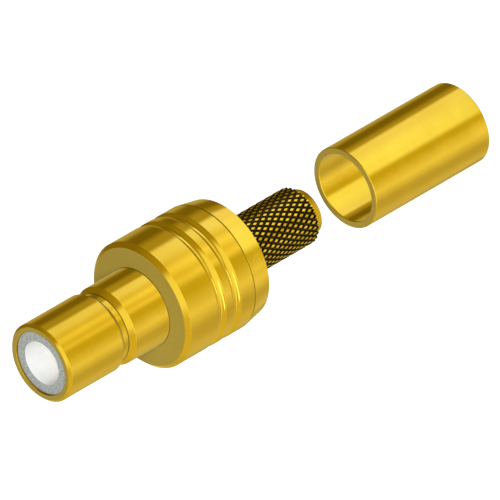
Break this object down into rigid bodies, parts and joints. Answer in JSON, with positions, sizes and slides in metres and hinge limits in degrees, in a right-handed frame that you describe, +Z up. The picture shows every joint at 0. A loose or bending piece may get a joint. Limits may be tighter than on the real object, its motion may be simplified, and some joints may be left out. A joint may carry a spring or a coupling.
{
  "type": "smb connector",
  "caption": "Straight gold-plated coaxial crimp jack for thin cable: snap-groove nose, grooved barrel, diamond-knurled crimp stem and a loose crimp ferrule behind it.",
  "frame": {"origin": "centre of the front mating face of the nose, on the connector's axis", "axes": "+X along the axis from the mating face to the cable end, +Z up"},
  "size_m": [0.0256, 0.006, 0.006],
  "materials": {
    "gold": "gold plated, bright turned",
    "ptfe": "smooth white fluoropolymer"
  },
  "bodies": {
    "connector": {"front_body": "gold", "rear_body": "gold", "insulator": "ptfe", "centre_contact": "gold"},
    "ferrule": {"crimp_ferrule": "gold"}
  },
  "joints": [
    {"name": "ferrule_slide", "type": "slide", "parent": "connector", "child": "ferrule", "axis": [1, 0, 0], "range_m": [-0.0074, 0]}
  ]
}
